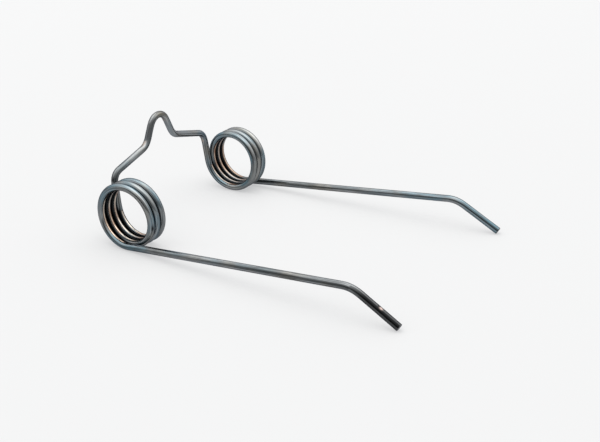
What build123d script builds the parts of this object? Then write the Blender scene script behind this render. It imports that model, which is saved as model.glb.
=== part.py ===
from build123d import *
import math
import os

# Double torsion spring, bent from a single length of round spring wire. Two long tines
# leave two coils of opposite hand, and a bridge with a peaked loop joins the coils. The
# tines point along +X, the loop stands up towards +Z, and the spring is the same on both
# sides of the XZ plane. It lies as it comes to rest, on its coils and the tips of its tines.
# Lengths are in millimetres and angles in degrees. A length between two bends runs to the
# points where the straights would meet, and a bend radius is the one inside the bend.

# Wire
wire_diameter = 3.76
end_bevel = 0.3                # left round each cropped end

# Coils, on one axis along Y
coil_inside_diameter = 28.7
whole_turns = 3
riser_angle = 90.0             # from the tine round to the riser, on top of the whole turns
turn_gap = 0.55                # clear gap between one turn and the next

# Tines
tine_spacing = 107.2           # between their centre lines, where they leave the coils
tine_splay = 1.3               # each tine leans outwards by this angle
tine_length = 137.0            # from the coil to the bend near the tip
tip_bend_angle = 35.0
tip_bend_radius = 14.0
tip_length = 27.8              # from that bend to the cropped end
set_length = 2.0               # over which the coil's lead is set straight to the splay

# Bridge between the coils, with the loop that takes the fixing bolt
riser_length = 17.3            # from the inner end of each coil to the bend at its top
riser_bend_radius = 4.4
bridge_lean = 1.2              # the bridge leans forward by this angle
shoulder_rise = 7.6            # from the tops of the risers up to the feet of the loop
loop_foot_spacing = 22.8
foot_bend_radius = 5.4
loop_height = 24.4             # from the feet up to the peak
peak_bend_radius = 5.1

# Sizes that follow
wire_radius = wire_diameter / 2
coil_radius = (coil_inside_diameter + wire_diameter) / 2
coil_pitch = wire_diameter + turn_gap
turns = whole_turns + riser_angle / 360
coil_lead = math.degrees(math.atan2(coil_pitch, 2 * math.pi * coil_radius))


def rise_of_tines():
    """The angle at which the tines climb, with the coils and the tips on one level surface."""
    bend = math.radians(tip_bend_angle)
    tip_contact = tip_length - end_bevel
    along = tine_length + tip_contact * math.cos(bend) - wire_radius * math.sin(bend)
    across = coil_radius + tip_contact * math.sin(bend) + wire_radius * math.cos(bend)
    drop = math.asin((coil_radius + wire_radius) / math.hypot(along, across))
    return math.degrees(math.atan2(across, along) - drop)


def heading(rise, splay):
    """A direction along +X that climbs by one angle and leans towards -Y by the other."""
    rise, splay = math.radians(rise), math.radians(splay)
    forward = math.cos(splay)
    return Vector(math.cos(rise) * forward, -math.sin(splay), math.sin(rise) * forward)


def other_side(points):
    """The same points on the other side of the XZ plane, in reverse order."""
    return [Vector(point.X, -point.Y, point.Z) for point in reversed(points)]


tine_rise = rise_of_tines()

with BuildPart() as double_torsion_spring:
    # Each coil is a helix that starts under the axis, square to its tine, and winds inwards
    coil_seat = Plane(
        origin=(0, -tine_spacing / 2, 0), x_dir=heading(tine_rise - 90, 0), z_dir=(0, 1, 0)
    )
    coil = coil_seat.location * Helix(coil_pitch, coil_pitch * turns, coil_radius, mode=Mode.PRIVATE)

    with BuildLine() as centre_line:
        # One coil and its tine, which is set to its splay and turns down near the tip
        add(coil)
        set_end = coil @ 0 + heading(tine_rise, (coil_lead + tine_splay) / 2) * set_length
        TangentArc(coil @ 0, set_end, tangent=heading(tine_rise, coil_lead))
        tip_bend = set_end + heading(tine_rise, tine_splay) * (tine_length - set_length)
        tip_end = tip_bend + heading(tine_rise - tip_bend_angle, tine_splay) * tip_length
        FilletPolyline(set_end, tip_bend, tip_end, radius=tip_bend_radius + wire_radius)
        mirror(about=Plane.XZ)

        # The bridge climbs from one coil's inner end, over the loop and down to the other coil
        riser_top = coil @ 1 + (coil % 1) * riser_length
        up_the_bridge = heading(90 - bridge_lean, 0)
        middle = Vector(riser_top.X, 0, riser_top.Z)
        loop_foot = middle + up_the_bridge * shoulder_rise - Vector(0, loop_foot_spacing / 2, 0)
        loop_peak = middle + up_the_bridge * (shoulder_rise + loop_height)
        half_bridge = [coil @ 1, riser_top, loop_foot]
        half_bends = [riser_bend_radius + wire_radius, foot_bend_radius + wire_radius]
        FilletPolyline(
            *half_bridge, loop_peak, *other_side(half_bridge),
            radius=[*half_bends, peak_bend_radius + wire_radius, *reversed(half_bends)],
        )

    # The round wire runs along the whole line, and each cropped end is eased
    wire_path = centre_line.wire()
    with BuildSketch(Plane(origin=wire_path @ 0, z_dir=wire_path % 0)):
        Circle(wire_radius)
    sweep(path=wire_path)
    cropped_ends = double_torsion_spring.faces().filter_by(GeomType.PLANE)
    chamfer(cropped_ends.edges(), end_bevel)

# The origin is under the middle of the spring, on the surface that it lies on
extent = double_torsion_spring.part.bounding_box()
double_torsion_spring.part.move(Location((-extent.center().X, 0, -extent.min.Z)))

os.makedirs("parts", exist_ok=True)
double_torsion_spring.part.label = "double_torsion_spring"
export_step(double_torsion_spring.part, "parts/double_torsion_spring.step")
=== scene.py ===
import math

import bpy
import numpy as np
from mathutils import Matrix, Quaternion, Vector


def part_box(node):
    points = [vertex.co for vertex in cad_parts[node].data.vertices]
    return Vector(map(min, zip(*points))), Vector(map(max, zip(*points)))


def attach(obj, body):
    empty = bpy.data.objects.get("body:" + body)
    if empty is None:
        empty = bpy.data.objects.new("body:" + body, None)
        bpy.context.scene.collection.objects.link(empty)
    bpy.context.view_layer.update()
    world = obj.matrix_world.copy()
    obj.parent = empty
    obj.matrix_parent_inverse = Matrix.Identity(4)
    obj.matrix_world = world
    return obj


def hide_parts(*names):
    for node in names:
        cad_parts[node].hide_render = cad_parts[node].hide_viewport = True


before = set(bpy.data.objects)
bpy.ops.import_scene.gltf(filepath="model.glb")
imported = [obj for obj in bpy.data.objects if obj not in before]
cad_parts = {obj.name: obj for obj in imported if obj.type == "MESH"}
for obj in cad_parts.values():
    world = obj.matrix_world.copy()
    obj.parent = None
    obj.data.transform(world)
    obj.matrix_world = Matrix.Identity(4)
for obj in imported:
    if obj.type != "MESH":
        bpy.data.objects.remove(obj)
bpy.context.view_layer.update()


# ---------------------------------------------------------------------------------------
# The run of the wire
# The spring is one length of round spring wire, with nothing fastened to it. Each end is
# wound round a mandrel, the two coils by opposite hands, and the bridge with its peaked
# loop is bent over pins between them. The tines are set straight and their tips turned down.
# ---------------------------------------------------------------------------------------
mm = 0.001

# Wire
wire_diameter = 3.76 * mm
end_bevel = 0.3 * mm                # left round each cropped end

# Coils, on one axis along Y
coil_inside_diameter = 28.7 * mm
whole_turns = 3
riser_angle = 90.0                  # degrees, from the tine round to the riser
turn_gap = 0.55 * mm

# Tines, which point along +X
tine_spacing = 107.2 * mm
tine_splay = 1.3                    # degrees
tine_length = 137.0 * mm
tip_bend_angle = 35.0               # degrees
tip_bend_radius = 14.0 * mm
tip_length = 27.8 * mm
set_length = 2.0 * mm

# Bridge between the coils, with the loop for the fixing bolt
riser_length = 17.3 * mm
riser_bend_radius = 4.4 * mm
bridge_lean = 1.2                   # degrees
shoulder_rise = 7.6 * mm
loop_foot_spacing = 22.8 * mm
foot_bend_radius = 5.4 * mm
loop_height = 24.4 * mm
peak_bend_radius = 5.1 * mm

wire_radius = wire_diameter / 2
coil_radius = (coil_inside_diameter + wire_diameter) / 2
coil_pitch = wire_diameter + turn_gap
turns = whole_turns + riser_angle / 360
coil_lead = math.degrees(math.atan2(coil_pitch, 2 * math.pi * coil_radius))

# How far apart the rings of the mesh stand along each kind of run
coil_step = 0.9 * mm
bend_step = 0.4 * mm
straight_step = 1.2 * mm
tip_step = 0.2 * mm


def unit(vector):
    """A vector of length one in the same direction."""
    return vector / np.linalg.norm(vector)


def heading(rise, splay):
    """A direction along +X that climbs by one angle and leans towards -Y by the other."""
    rise, splay = math.radians(rise), math.radians(splay)
    forward = math.cos(splay)
    return np.array([math.cos(rise) * forward, -math.sin(splay), math.sin(rise) * forward])


def rise_of_tines():
    """The angle at which the tines climb, with the coils and the tips on one level surface."""
    bend_angle = math.radians(tip_bend_angle)
    tip_contact = tip_length - end_bevel
    along = tine_length + tip_contact * math.cos(bend_angle) - wire_radius * math.sin(bend_angle)
    across = coil_radius + tip_contact * math.sin(bend_angle) + wire_radius * math.cos(bend_angle)
    drop = math.asin((coil_radius + wire_radius) / math.hypot(along, across))
    return math.degrees(math.atan2(across, along) - drop)


def steps(length, step):
    """Even shares of a run, from 0 up to 1, no further apart than the step."""
    return np.linspace(0, 1, max(2, math.ceil(length / step)) + 1)


def straight(start, end, step):
    """Places along a straight run, each with the pull of its bend, which is none."""
    share = steps(np.linalg.norm(end - start), step)[:, None]
    places = start + (end - start) * share
    return places, np.zeros_like(places)


def bend(before, corner, after, radius, step):
    """Places round a bend, each with its pull: towards the bend's centre, over its radius."""
    arrive, leave = unit(corner - before), unit(after - corner)
    turn = math.acos(arrive @ leave)
    inward = unit(leave - arrive * math.cos(turn))
    start = corner - arrive * radius * math.tan(turn / 2)
    angle = (steps(radius * turn, step) * turn)[:, None]
    places = start + radius * (arrive * np.sin(angle) + inward * (1 - np.cos(angle)))
    return places, (inward * np.cos(angle) - arrive * np.sin(angle)) / radius


def rounded(corners, inside_radii, step):
    """The straights and bends of a run through corners, each rounded by its inside radius."""
    runs = []
    reached = corners[0]
    for before, corner, after, inside in zip(corners, corners[1:], corners[2:], inside_radii):
        arc = bend(before, corner, after, inside + wire_radius, bend_step)
        runs += [straight(reached, arc[0][0], step), arc]
        reached = arc[0][-1]
    return runs + [straight(reached, corners[-1], step)]


# The coil on the -Y side, from its outer end under the axis to its inner end
tine_rise = rise_of_tines()
wound = steps(turns * 2 * math.pi * coil_radius, coil_step) * turns * 2 * math.pi
round_axis = math.radians(tine_rise - 90) - wound
outward = np.stack([np.cos(round_axis), np.zeros_like(wound), np.sin(round_axis)], axis=1)
coil_line = outward * coil_radius
coil_line[:, 1] = coil_pitch * wound / (2 * math.pi) - tine_spacing / 2
coil_run = coil_line, -outward / coil_radius
coil_start, coil_end = coil_line[0], coil_line[-1]

# Its tine, from the cropped end to the coil
splayed = heading(tine_rise, tine_splay)
set_end = coil_start + heading(tine_rise, (coil_lead + tine_splay) / 2) * set_length
tip_bend = set_end + splayed * (tine_length - set_length)
tip_heading = heading(tine_rise - tip_bend_angle, tine_splay)
tip_end = tip_bend + tip_heading * tip_length
barrel_end = tip_end - tip_heading * end_bevel
tip_run, tip_arc, tine_run = rounded([barrel_end, tip_bend, set_end], [tip_bend_radius], straight_step)
tip_run = straight(tip_run[0][0], tip_run[0][-1], tip_step)
set_run = straight(set_end, coil_start, straight_step)

# Its half of the bridge, up to the peak of the loop
last_angle = round_axis[-1]
coil_heading = unit(np.array([
    math.sin(last_angle), coil_pitch / (2 * math.pi * coil_radius), -math.cos(last_angle)
]))
riser_top = coil_end + coil_heading * riser_length
up_the_bridge = heading(90 - bridge_lean, 0)
middle = riser_top * [1, 0, 1]
loop_foot = middle + up_the_bridge * shoulder_rise - np.array([0, loop_foot_spacing / 2, 0])
loop_peak = middle + up_the_bridge * (shoulder_rise + loop_height)
bridge_corners = [coil_end, riser_top, loop_foot, loop_peak, loop_foot * [1, -1, 1]]
bridge_radii = [riser_bend_radius, foot_bend_radius, peak_bend_radius]
*bridge_runs, peak_arc, _ = rounded(bridge_corners, bridge_radii, straight_step)
half_arc = len(peak_arc[0]) // 2 + len(peak_arc[0]) % 2
half_peak = tuple(part[:half_arc] for part in peak_arc)

# The whole wire, from one cropped end to the other, with its second half as a mirror image
half_runs = [tip_run, tip_arc, tine_run, set_run, coil_run, *bridge_runs, half_peak]
half_line, half_pull = (
    np.concatenate([run[part][:-1] for run in half_runs[:-1]] + [half_runs[-1][part]])
    for part in (0, 1)
)
on_the_middle = len(peak_arc[0]) % 2
line = np.concatenate([half_line, half_line[::-1][on_the_middle:] * [1, -1, 1]])
pull = np.concatenate([half_pull, half_pull[::-1][on_the_middle:] * [1, -1, 1]])
run_length = np.append(0, np.cumsum(np.linalg.norm(np.diff(line, axis=0), axis=1)))
whole_length = run_length[-1]


# ---------------------------------------------------------------------------------------
# The skin of the wire
# Round steel wire, a little out of round where it was bent cold: the inside of a bend swells
# and the outside thins. Mandrel and bending pins leave it with narrow rubbed flats.
# ---------------------------------------------------------------------------------------
around = 64                         # corners in each ring
ease_length = 3.0 * mm              # over which a bend runs out into a straight
swell = 0.5                         # the share of the strain across a bend that shows sideways
coil_flat_depth = 0.04 * mm         # rubbed flat on the inside of the coils
pin_flat_depth = 0.07 * mm          # and on the inside of a bend made over a pin
pin_bend_size = 0.2                 # bends tighter than this, wire over bend radius, had a pin
pin_bend_ease = 0.05
coil_ease = 0.03                    # turns over which a coil's own marks fade in


def eased(values):
    """Values along the wire, eased where a bend runs out into a straight."""
    even_step = 0.1 * mm
    even = np.arange(0, whole_length + even_step, even_step)
    weights = np.hanning(int(ease_length / even_step))
    weights /= weights.sum()
    columns = [np.interp(even, run_length, column) for column in values.T]
    smooth = [np.convolve(column, weights, mode="same") for column in columns]
    return np.stack([np.interp(run_length, even, column) for column in smooth], axis=1)


def smoothstep(value, start, end):
    """0 before the start, 1 past the end and a smooth climb between."""
    share = np.clip((value - start) / (end - start), 0, 1)
    return share * share * (3 - 2 * share)


# Each ring stands square to the wire, and is carried along it without a twist
tangent = np.gradient(line, run_length, axis=0)
tangent /= np.linalg.norm(tangent, axis=1)[:, None]
side = np.empty_like(line)
side[0] = unit(np.cross(tangent[0], [0, 0, 1]))
for ring in range(1, len(line)):
    carried = side[ring - 1]
    side[ring] = unit(carried - tangent[ring] * (carried @ tangent[ring]))
top = np.cross(side, tangent)

spoke_angle = np.arange(around) * 2 * math.pi / around
spoke = (
    side[:, None] * np.cos(spoke_angle)[None, :, None]
    + top[:, None] * np.sin(spoke_angle)[None, :, None]
)

# How far each corner lies towards the inside of its bend, and how far to the side
eased_pull = eased(pull)
pull_size = np.linalg.norm(eased_pull, axis=1)
inward = eased_pull / np.maximum(pull_size, 1e-9)[:, None]
bend_size = pull_size * wire_radius
towards = (spoke * inward[:, None]).sum(axis=2)
sideways = spoke - towards[:, :, None] * inward[:, None]

# How far round its coil each ring lies, in turns from the tine, and which bends had a pin
from_an_end = np.minimum(run_length, whole_length - run_length)
coil_begins = run_length[np.linalg.norm(line - coil_start, axis=1).argmin()]
turn = (from_an_end - coil_begins) / math.hypot(2 * math.pi * coil_radius, coil_pitch)
on_coil = (smoothstep(turn, 0, coil_ease) * smoothstep(turns - turn, 0, coil_ease))[:, None]
over_pin = smoothstep(bend_size, pin_bend_size, pin_bend_size + pin_bend_ease)[:, None]

flat_depth = coil_flat_depth * on_coil + pin_flat_depth * over_pin
height = np.minimum(towards * wire_radius, wire_radius - flat_depth)
width = wire_radius * (1 + swell * bend_size[:, None] * towards)
skin = line[:, None] + height[:, :, None] * inward[:, None] + width[:, :, None] * sideways

# The mandrel and the pins rubbed the steel bright where they bore on it, and the mandrel's lines
# are partly that wear and partly a painted highlight: how far each corner lies towards the
# mandrel, a little less on the +Y coil, so that its rubbed lines are narrower
less_rubbed = 0.004
faces_mandrel = (towards - less_rubbed * (line[:, 1:2] > 0)) * on_coil
pin_rub_begins, pin_rub_full = 0.86, 0.97
pin_rubbed = smoothstep(towards, pin_rub_begins, pin_rub_full) * over_pin

# Inside the coils, the sides that face the next turn are painted near black, a painted shade
# between the turns, less of it on the -Y sides
one_turn_off = (0.9, 1.1)           # in turns from the coil's end, where a neighbour begins
turn_outside = smoothstep(turn, *one_turn_off)[:, None]
turn_inside = smoothstep(turns - turn, *one_turn_off)[:, None]
outward_side = spoke[:, :, 1] * np.sign(line[:, 1])[:, None]
has_neighbour = np.where(outward_side > 0, turn_outside, turn_inside)
shade_begins = np.where(spoke[:, :, 1] < 0, 0.36, 0.22)
shade_fade = 0.18
on_a_side = smoothstep(np.abs(outward_side), shade_begins, shade_begins + shade_fade)
inside_coil = smoothstep(towards, -0.4, 0.1)
shade_between_turns = on_a_side * inside_coil * has_neighbour * on_coil

# A nick on top of one tip, where the wire was struck and the bright steel shows
nick_from_end = 11.4 * mm
nick_length = 1.5 * mm
nick_width = 1.0 * mm
nick_depth = 0.12 * mm
nick_facing = unit(np.array([0.49, -0.12, 0.86]))
from_nick = (run_length + end_bevel - nick_from_end)[:, None] / (nick_length / 2)
facing = np.arccos(np.clip(spoke @ nick_facing, -1, 1)) * wire_radius / (nick_width / 2)
nick_share = np.exp(-(from_nick ** 2) - facing ** 2)
lip_place, lip_size = 1.6, 0.5      # in half lengths of the nick, from its middle
nick_lip = np.exp(-(((from_nick - lip_place) / lip_size) ** 2) - facing ** 2) / 4
skin -= ((nick_share - nick_lip) * nick_depth)[:, :, None] * spoke

# Painted shade along the fronts of the tines and of their tips, the sides turned towards the dark
# side of the studio: how much, by the place in mm from the -Y end
front_shade_along = [
    (0, 0.97), (19, 0.97), (30, 0.6), (45, 0.65), (90, 0.55), (125, 0.3), (163, 0.1), (200, 0.0),
    (920, 0.0), (960, 0.27), (1000, 0.35), (1060, 0.27), (1091, 0.1), (1100, 0.53), (1120, 0.58),
]
tine_front = unit(np.array([-0.05, -0.93, 0.36]))
tip_front = unit(np.array([0.35, -0.68, 0.64]))
front_shade_place, front_shade_amount = zip(*front_shade_along)
on_tip = from_an_end[:, None] < tip_length
towards_front = np.where(on_tip, spoke @ tip_front, spoke @ tine_front)
scale_and_front_shade = smoothstep(towards_front, 0.85, 0.96)
scale_and_front_shade *= np.interp(run_length / mm, front_shade_place, front_shade_amount)[:, None]

# Dark scale pushed up behind the nick, in half lengths and half widths of the nick
behind_place, behind_length, behind_width = 1.9, 0.7, 1.6
behind_nick = np.exp(
    -(((from_nick - behind_place) / behind_length) ** 2) - (facing / behind_width) ** 2
)

# One more spot of scale on the outermost turn of the -Y coil
spot_place = 245.4 * mm
spot_length = 3.4 * mm
spot_facing = unit(np.array([0.9, -0.42, -0.17]))
from_spot = (run_length - spot_place)[:, None] / (spot_length / 2)
spot = np.exp(-from_spot ** 2) * smoothstep(spoke @ spot_facing, 0.86, 0.97)
# The real dark scale behind the nick and on the coil shares one mask with the painted shade on the
# fronts
scale_and_front_shade = np.maximum(np.maximum(scale_and_front_shade, behind_nick), spot)


# ---------------------------------------------------------------------------------------
# The cropped ends
# Each end was sheared, which leaves a rolled edge, a smooth burnished part where the blade
# went in and a coarse broken part beyond it.
# ---------------------------------------------------------------------------------------
# Rings from the barrel to the middle of the end: share of the radius, and share of the bevel
end_rings = [
    (0.985, 0.6), (0.95, 0.25), (0.9, 0.06), (0.84, 0.0), (0.63, 0.0), (0.42, 0.0), (0.21, 0.0),
]
broken_depth = 0.09 * mm
chance = np.random.default_rng(7)


def cropped_end(ring, out):
    """The rings and the middle of a cropped end, beyond the last ring of the barrel."""
    rings = []
    blade_side = np.sin(spoke_angle)
    for share, setback in end_rings:
        broken = smoothstep(-blade_side * share, -0.15, 0.2) * (setback == 0)
        rough = broken * (0.4 + 0.6 * chance.random(around)) * broken_depth
        depth = end_bevel * (1 - setback) - rough
        flat = line[ring] + (skin[ring] - line[ring]) * share
        rings.append(flat + out * depth[:, None])
    return rings, line[ring] + out * (end_bevel - broken_depth / 2)


first_rings, first_middle = cropped_end(0, -tangent[0])
last_rings, last_middle = cropped_end(-1, tangent[-1])
all_rings = np.concatenate([np.array(first_rings[::-1]), skin, np.array(last_rings)])
barrel = slice(len(end_rings), len(end_rings) + len(line))

# Laid where its node lies: in line with its box along X, and on the same surface
corners = np.concatenate([all_rings.reshape(-1, 3), [first_middle, last_middle]])
node_low, node_high = (np.array(corner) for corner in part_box("double_torsion_spring"))
shift = (node_low + node_high - corners.min(axis=0) - corners.max(axis=0)) / 2
shift[1] = 0
shift[2] = node_low[2] - corners[:, 2].min()
corners += shift

# Faces between each ring and the next, and a fan at the middle of each end
first_corner = np.arange(len(all_rings) - 1)[:, None] * around
this = np.arange(around)
beside = np.roll(this, -1)
walls = np.stack([
    first_corner + this, first_corner + around + this,
    first_corner + around + beside, first_corner + beside,
], axis=2).reshape(-1, 4)
last_ring = (len(all_rings) - 1) * around
fans = [[len(corners) - 2, int(a), int(b)] for a, b in zip(this, beside)]
fans += [[len(corners) - 1, last_ring + int(b), last_ring + int(a)] for a, b in zip(this, beside)]
mesh = bpy.data.meshes.new("spring_wire")
mesh.from_pydata(corners.tolist(), [], walls.tolist() + fans)
mesh.update()
mesh.shade_smooth()
spring = bpy.data.objects.new("spring_wire", mesh)
bpy.context.scene.collection.objects.link(spring)


# Every corner's place in the wire while it was still straight, for the marks of drawing
along_all = np.concatenate([
    np.zeros(len(end_rings)), run_length, np.full(len(end_rings), whole_length)
])
share_all = np.concatenate([
    [share for share, _ in end_rings[::-1]], np.ones(len(line)), [share for share, _ in end_rings]
])
straight_wire = np.stack([
    wire_radius * share_all[:, None] * np.cos(spoke_angle),
    wire_radius * share_all[:, None] * np.sin(spoke_angle),
    np.repeat(along_all[:, None], around, axis=1),
], axis=2).reshape(-1, 3)
straight_wire = np.concatenate([straight_wire, [[0, 0, 0], [0, 0, whole_length]]])
place = mesh.attributes.new("straight_wire", "FLOAT_VECTOR", "POINT")
place.data.foreach_set("vector", straight_wire.astype(np.float32).ravel())


def mark(name, on_barrel, on_ends):
    """A share from 0 to 1 at each corner, that the finish reads by its name."""
    ends = np.full((len(end_rings), around), on_ends)
    values = np.concatenate([ends, on_barrel, ends]).ravel()
    values = np.append(values, [on_ends, on_ends]).astype(np.float32)
    mesh.attributes.new(name, "FLOAT", "POINT").data.foreach_set("value", values)


# The skin laid out flat: rows of the barrel, one above the other, and the two ends beside them
rows = 10
row_length = whole_length / rows
rows_width = 0.92
left_margin = 0.01
strip_share = 0.92                  # of a row's height, the rest is a gap
end_place = 0.965                   # across the map, for both ends
end_heights = (0.25, 0.75)
segment = np.arange(len(all_rings) - 1)
ring_of = np.stack([segment, segment + 1, segment + 1, segment], axis=1)[:, None, :]
spoke_of = np.stack([this, this, this + 1, this + 1], axis=1)[None, :, :]
ring_of, spoke_of = np.broadcast_arrays(ring_of, spoke_of)
row = np.floor((along_all[:-1] + along_all[1:]) / 2 / row_length).clip(0, rows - 1)[:, None, None]
strip_across = (along_all[ring_of] / row_length - row) * rows_width + left_margin
strip_up = (row + (1 - strip_share) / 2 + spoke_of / around * strip_share) / rows
end_scale = rows_width / row_length * wire_radius
end_row = np.where(segment < len(line) / 2, *end_heights)[:, None, None]
turn_angle = spoke_of * 2 * math.pi / around
end_across = end_place + end_scale * share_all[ring_of] * np.cos(turn_angle)
end_up = end_row + end_scale * share_all[ring_of] * np.sin(turn_angle)
on_an_end = ((segment < barrel.start) | (segment >= barrel.stop - 1))[:, None, None]
wall_map = np.stack([
    np.where(on_an_end, end_across, strip_across), np.where(on_an_end, end_up, strip_up)
], axis=3).reshape(-1, 2)
fan_map = []
for end_up_place, order in zip(end_heights, ((0, 1), (1, 0))):
    for step in this:
        fan_map.append([end_place, end_up_place])
        for add_on in order:
            angle = (step + add_on) * 2 * math.pi / around
            reach = end_scale * end_rings[-1][0]
            fan_map.append([end_place + reach * math.cos(angle), end_up_place + reach * math.sin(angle)])
flat_map = mesh.uv_layers.new(name="OFBake")
flat_map.data.foreach_set("uv", np.concatenate([wall_map, fan_map]).astype(np.float32).ravel())

mark("faces_mandrel", faces_mandrel, 0.0)
mark("scale_and_front_shade", scale_and_front_shade, 0.0)
mark("pin_rubbed", pin_rubbed, 0.0)
mark("shade_between_turns", shade_between_turns, 0.0)

# Colours left by tempering, along the wire from the -Y tip: the place in mm, how blue, how
# straw coloured, how dark the film is there and how far it was polished off
temper = [
    (0, 0.1, 0.2, 0.88, 0.0), (20, 0.0, 0.4, 0.8, 0.0), (29, 0.1, 0.5, 0.0, 0.1),
    (60, 0.2, 0.6, 0.05, 0.0), (120, 0.5, 0.3, 0.0, 0.12), (165, 0.8, 0.1, 0.1, 0.0),
    (230, 1.0, 0.5, 0.0, 0.1), (300, 0.9, 0.4, 0.0, 0.15), (400, 1.0, 0.3, 0.0, 0.1),
    (480, 1.0, 0.1, 0.0, 0.1), (497, 0.3, 0.4, 0.2, 0.0), (503, 0.4, 0.2, 0.1, 0.1),
    (511, 0.1, 0.6, 0.6, 0.0), (518, 0.3, 0.3, 0.45, 0.0),
    (528, 0.5, 0.0, 0.0, 0.1), (539, 0.3, 0.4, 0.3, 0.0), (554, 0.0, 0.5, 0.3, 0.0),
    (560, 0.0, 0.9, 0.1, 0.0), (570, 0.4, 0.3, 0.0, 0.15), (580, 0.5, 0.2, 0.0, 0.4),
    (593, 0.2, 0.8, 0.0, 0.3), (605, 0.9, 0.1, 0.0, 0.15), (617, 0.4, 0.6, 0.25, 0.0),
    (640, 0.9, 0.3, 0.0, 0.0), (700, 1.0, 0.4, 0.0, 0.1), (800, 0.5, 0.8, 0.0, 0.15),
    (900, 0.9, 0.5, 0.0, 0.1), (950, 0.3, 0.5, 0.3, 0.0), (998, 0.1, 0.7, 0.1, 0.0),
    (1040, 0.4, 0.5, 0.0, 0.1), (1063, 0.8, 0.2, 0.0, 0.1), (1091, 1.0, 0.0, 0.0, 0.15),
    (1103, 1.0, 0.0, 0.0, 0.1), (1120, 1.0, 0.0, 0.0, 0.05),
]
tint_on_ends = 0.3
temper_place, *temper_shares = zip(*temper)
for name, share in zip(("blue", "straw", "film", "shiny"), temper_shares):
    along_wire = np.interp(run_length / mm, temper_place, share)[:, None]
    mark(name, np.broadcast_to(along_wire, faces_mandrel.shape), tint_on_ends)
bare_beyond_nick = 1.6
mark("bare", np.clip(nick_share * bare_beyond_nick, 0, 1), 0.0)
mark("cropped", np.zeros_like(faces_mandrel), 1.0)


# ---------------------------------------------------------------------------------------
# The finish
# Oil-tempered steel: dark, with streaks along the wire from the drawing die, blue and straw
# tints from the heat, brown scorching, bright lines where the mandrel bore on it that are partly
# a painted highlight, and painted shade between the turns and on the fronts of the tines.
# ---------------------------------------------------------------------------------------
def add(tree, kind, inputs=None, **settings):
    """A node of the tree with its settings made and its inputs set, or linked to an output."""
    made = tree.nodes.new("ShaderNode" + kind)
    for name, value in settings.items():
        setattr(made, name, value)
    for name, value in (inputs or {}).items():
        if isinstance(value, bpy.types.NodeSocket):
            tree.links.new(value, made.inputs[name])
        else:
            made.inputs[name].default_value = value
    return made


def blend_colours(tree, share, first, second, how="MIX"):
    """Two colours mixed by a share."""
    made = add(tree, "Mix", data_type="RGBA", blend_type=how)
    for name, value in (("Factor", share), ("A", first), ("B", second)):
        socket = next(s for s in made.inputs if s.name == name and s.enabled)
        if isinstance(value, bpy.types.NodeSocket):
            tree.links.new(value, socket)
        else:
            socket.default_value = value
    return next(s for s in made.outputs if s.enabled)


def between(tree, value, from_low, from_high, to_low, to_high):
    """A value moved from one span to another, and held inside it."""
    return add(tree, "MapRange", {
        "Value": value, "From Min": from_low, "From Max": from_high,
        "To Min": to_low, "To Max": to_high,
    }).outputs["Result"]


steel = bpy.data.materials.new("drawn_spring_steel")
steel.use_nodes = True
tree = steel.node_tree
shader = tree.nodes["Principled BSDF"]
where = add(tree, "Attribute", attribute_name="straight_wire").outputs["Vector"]


def streaks(across, along, detail):
    """Streaks that run along the wire: how wide one is across, and how long."""
    per_streak = (1 / across, 1 / across, 1 / along)
    stretched = add(tree, "VectorMath", {0: where, 1: per_streak}, operation="MULTIPLY")
    return add(tree, "TexNoise", {
        "Vector": stretched.outputs["Vector"], "Scale": 1.0, "Detail": detail, "Roughness": 0.6,
    }).outputs["Fac"]


broad = streaks(1.2 * mm, 30 * mm, 2)
lines = streaks(0.45 * mm, 22 * mm, 2)
fine = streaks(0.14 * mm, 8 * mm, 3)
patches = streaks(1.8 * mm, 5 * mm, 5)
specks = streaks(0.3 * mm, 0.45 * mm, 4)
tint = streaks(8 * mm, 17 * mm, 1)

blue_steel = (0.064, 0.146, 0.188, 1)
grey_steel = (0.146, 0.157, 0.159, 1)
straw_steel = (0.182, 0.165, 0.128, 1)
dark_steel = (0.07, 0.074, 0.078, 1)
bright_steel = (0.36, 0.37, 0.385, 1)
dark_film = (0.045, 0.046, 0.048, 1)
# Darkens the dark scale, and gives the painted shade on the fronts of the tines and tips
scale_and_front_shade_colour = (0.12, 0.125, 0.13, 1)      # multiplies what lies under it
# Painted shade between the coil's turns, near black
painted_groove_shade = (0.008, 0.009, 0.01, 1)
scorch_brown = (0.17, 0.075, 0.037, 1)
# Worn bright by the mandrel, and partly a painted highlight
worn_steel_and_highlight = (0.62, 0.55, 0.46, 1)
pin_rubbed_steel = (0.36, 0.28, 0.23, 1)
bare_steel = (0.34, 0.27, 0.25, 1)
cropped_steel = (0.1, 0.103, 0.108, 1)


def marked(name):
    """The share that a mark gives, between 0 and 1."""
    return add(tree, "Attribute", attribute_name=name).outputs["Fac"]


def times(first, second):
    """Two shares multiplied."""
    return add(tree, "Math", {0: first, 1: second}, operation="MULTIPLY").outputs[0]


blued = times(marked("blue"), between(tree, tint, 0.42, 0.57, 1, 0.15))
cool = blend_colours(tree, blued, grey_steel, blue_steel)
strawed = times(marked("straw"), between(tree, tint, 0.48, 0.6, 0.1, 1))
warm = blend_colours(tree, strawed, cool, straw_steel)
dull = blend_colours(tree, between(tree, patches, 0.42, 0.66, 0, 0.65), warm, dark_steel)
swept = blend_colours(tree, between(tree, broad, 0.45, 0.7, 0, 0.35), dull, bright_steel)
darker = blend_colours(tree, between(tree, lines, 0.32, 0.48, 0.85, 0), swept, dark_steel)
lined = blend_colours(tree, between(tree, lines, 0.52, 0.68, 0, 0.7), darker, bright_steel)
polished = blend_colours(tree, marked("shiny"), lined, bright_steel)
filmed = blend_colours(tree, marked("film"), polished, dark_film)
# Dark scale, and painted shade on the fronts of the tines and tips
scaled_and_front_shaded = blend_colours(tree, marked("scale_and_front_shade"), filmed, scale_and_front_shade_colour, how="MULTIPLY")
# The sides between the turns get their painted shade
groove_shaded = blend_colours(tree, marked("shade_between_turns"), scaled_and_front_shaded, painted_groove_shade)
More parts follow.
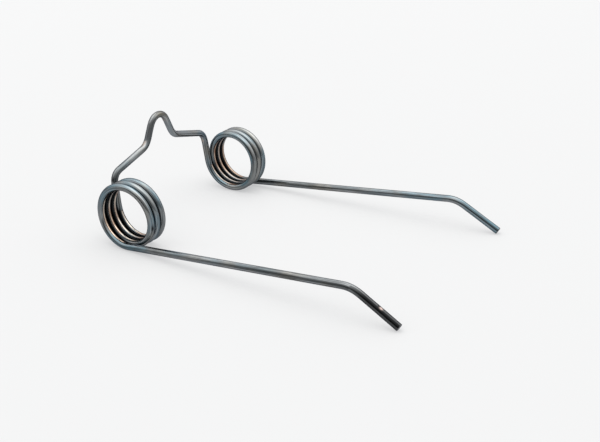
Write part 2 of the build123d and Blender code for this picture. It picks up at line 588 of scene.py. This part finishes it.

# The line that the mandrel rubbed wanders a little, is scorched at its edges and worn inside, and
# its bright worn middle is partly a painted highlight
wobble = between(tree, patches, 0.3, 0.7, -0.007, 0.007)
bearing = add(tree, "Math", {0: marked("faces_mandrel"), 1: wobble}, operation="ADD").outputs[0]
scorch = times(between(tree, bearing, 0.93, 0.97, 0, 1), between(tree, tint, 0.42, 0.58, 0.3, 1))
scorched = blend_colours(tree, scorch, groove_shaded, scorch_brown)
worn_and_highlit = times(between(tree, bearing, 0.981, 0.99, 0, 1), between(tree, patches, 0.38, 0.62, 1, 0.25))
burnished_and_highlit = blend_colours(tree, worn_and_highlit, scorched, worn_steel_and_highlight)
pinned = times(marked("pin_rubbed"), between(tree, patches, 0.35, 0.6, 0.55, 0.15))
rubbed = blend_colours(tree, pinned, burnished_and_highlit, pin_rubbed_steel)
bared = blend_colours(tree, marked("bare"), rubbed, bare_steel)
finish = blend_colours(tree, marked("cropped"), bared, cropped_steel)
tree.links.new(finish, shader.inputs["Base Color"])

roughness = between(tree, fine, 0.3, 0.7, 0.13, 0.21)
dulled = between(tree, patches, 0.4, 0.7, 0, 0.08)
roughness = add(tree, "Math", {0: roughness, 1: dulled}, operation="ADD").outputs[0]
tree.links.new(roughness, shader.inputs["Roughness"])
shader.inputs["Metallic"].default_value = 1.0
shader.inputs["Specular Tint"].default_value = (0.35, 0.35, 0.38, 1)

relief = add(tree, "Math", {0: fine, 1: specks}, operation="ADD").outputs[0]
relief_height = 0.015 * mm
bump = add(tree, "Bump", {"Strength": 0.3, "Distance": relief_height, "Height": relief})
tree.links.new(bump.outputs["Normal"], shader.inputs["Normal"])
mesh.materials.append(steel)
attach(spring, "root")
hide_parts("double_torsion_spring")


# ---------------------------------------------------------------------------------------
# The studio
# A pale sheet laid on the bench for the spring to lie on, under a dome of soft light.
# ---------------------------------------------------------------------------------------
floor_reach = 12.0
floor_below = 0.05 * mm             # so that nothing shares its surface
floor_grey = (0.185, 0.187, 0.19, 1)
floor_glow = (0.985, 0.99, 1.0, 1)  # lit from behind, which keeps the shadows light
floor_mesh = bpy.data.meshes.new("floor")
floor_mesh.from_pydata(
    [
        (x * floor_reach, y * floor_reach, -floor_below)
        for x, y in ((-1, -1), (1, -1), (1, 1), (-1, 1))
    ],
    [], [(0, 1, 2, 3)],
)
floor = bpy.data.objects.new("floor", floor_mesh)
bpy.context.scene.collection.objects.link(floor)
floor_paint = bpy.data.materials.new("floor_paint")
floor_paint.use_nodes = True
paint = floor_paint.node_tree.nodes["Principled BSDF"]
paint.inputs["Base Color"].default_value = floor_grey
paint.inputs["Emission Color"].default_value = floor_glow
paint.inputs["Emission Strength"].default_value = 0.5
paint.inputs["Roughness"].default_value = 0.9
paint.inputs["Specular IOR Level"].default_value = 0.2
floor_mesh.materials.append(floor_paint)

# The dome of light, brightest overhead, by its elevation in degrees and its brightness
dome = [
    (0, 0.85), (12, 1.05), (20, 1.4), (30, 1.85), (40, 2.1), (52, 2.2), (65, 2.75), (90, 3.3),
]
brightest = 3.3
world = bpy.data.worlds.new("studio")
bpy.context.scene.world = world
world.use_nodes = True
sky = world.node_tree
sky.nodes.clear()
towards_light = add(sky, "TexCoord").outputs["Generated"]
upward = add(sky, "SeparateXYZ", {"Vector": towards_light}).outputs["Z"]
ramp = add(sky, "ValToRGB", {"Fac": upward})
stops = ramp.color_ramp.elements
while len(stops) < len(dome):
    stops.new(0.5)
for stop, (elevation, brightness) in zip(stops, dome):
    stop.position = math.sin(math.radians(elevation))
    share = brightness / brightest
    warmth = elevation / 90
    stop.color = (share, share * (1 - 0.015 * warmth), share * (1 - 0.05 * warmth), 1)


def near(azimuth, elevation, full_within, none_beyond, squash, strength):
    """1 away from a soft-edged patch of the dome, and 1 plus the strength inside it."""
    turned, lifted = math.radians(azimuth), math.radians(elevation)
    centre = Vector((math.cos(turned) * math.cos(lifted), math.sin(turned) * math.cos(lifted),
                     math.sin(lifted) * squash)).normalized()
    flattened = add(sky, "VectorMath", {0: towards_light, 1: (1, 1, squash)}, operation="MULTIPLY")
    level = add(sky, "VectorMath", {0: flattened.outputs["Vector"]}, operation="NORMALIZE")
    facing = add(sky, "VectorMath", {0: level.outputs["Vector"], 1: centre}, operation="DOT_PRODUCT")
    return add(sky, "MapRange", {
        "Value": facing.outputs["Value"],
        "From Min": math.cos(math.radians(none_beyond)),
        "From Max": math.cos(math.radians(full_within)),
        "To Min": 1.0, "To Max": 1.0 + strength,
    }, interpolation_type="SMOOTHSTEP").outputs["Result"]


# A soft box hangs overhead, and two dark cards stand on the camera's side of the bench
dome_light = ramp.outputs["Color"]
patches_of_the_dome = (
    near(20, 75, 15, 50, 1.0, 0.25),
    near(-90, 0, 10, 56, 1.2, -0.87),
    near(-36, 14, 22, 58, 1.5, -0.5),
)
for patch in patches_of_the_dome:
    shaded = add(sky, "VectorMath", {0: dome_light, 1: patch}, operation="MULTIPLY")
    dome_light = shaded.outputs["Vector"]
light = add(sky, "Background", {"Color": dome_light, "Strength": brightest})
backdrop_white = (0.95, 0.95, 0.95, 1)
backdrop = add(sky, "Background", {"Color": backdrop_white, "Strength": 1.0})
seen = add(sky, "LightPath").outputs["Is Camera Ray"]
both = add(sky, "MixShader", {0: seen, 1: light.outputs[0], 2: backdrop.outputs[0]})
add(sky, "OutputWorld", {"Surface": both.outputs[0]})


# ---------------------------------------------------------------------------------------
# The camera
# It stands beyond the -Y tip and above the bench, and looks down across both tines.
# ---------------------------------------------------------------------------------------
camera_place = (247.67 * mm, -372.76 * mm, 210.17 * mm)
camera_azimuth = math.radians(33.286)
camera_elevation = math.radians(24.044)
camera_roll = math.radians(-1.94)
look = Vector((
    -math.sin(camera_azimuth) * math.cos(camera_elevation),
    math.cos(camera_azimuth) * math.cos(camera_elevation),
    -math.sin(camera_elevation),
))
camera_data = bpy.data.cameras.new("camera")
camera_data.sensor_width = 36.0     # mm, as is the lens
camera_data.lens = 55.81
camera_data.clip_start = 10 * mm
camera = bpy.data.objects.new("camera", camera_data)
bpy.context.scene.collection.objects.link(camera)
camera.location = camera_place
camera.rotation_mode = "QUATERNION"
camera.rotation_quaternion = look.to_track_quat("-Z", "Y") @ Quaternion((0, 0, 1), camera_roll)
bpy.context.scene.camera = camera
bpy.context.scene.view_settings.view_transform = "Standard"
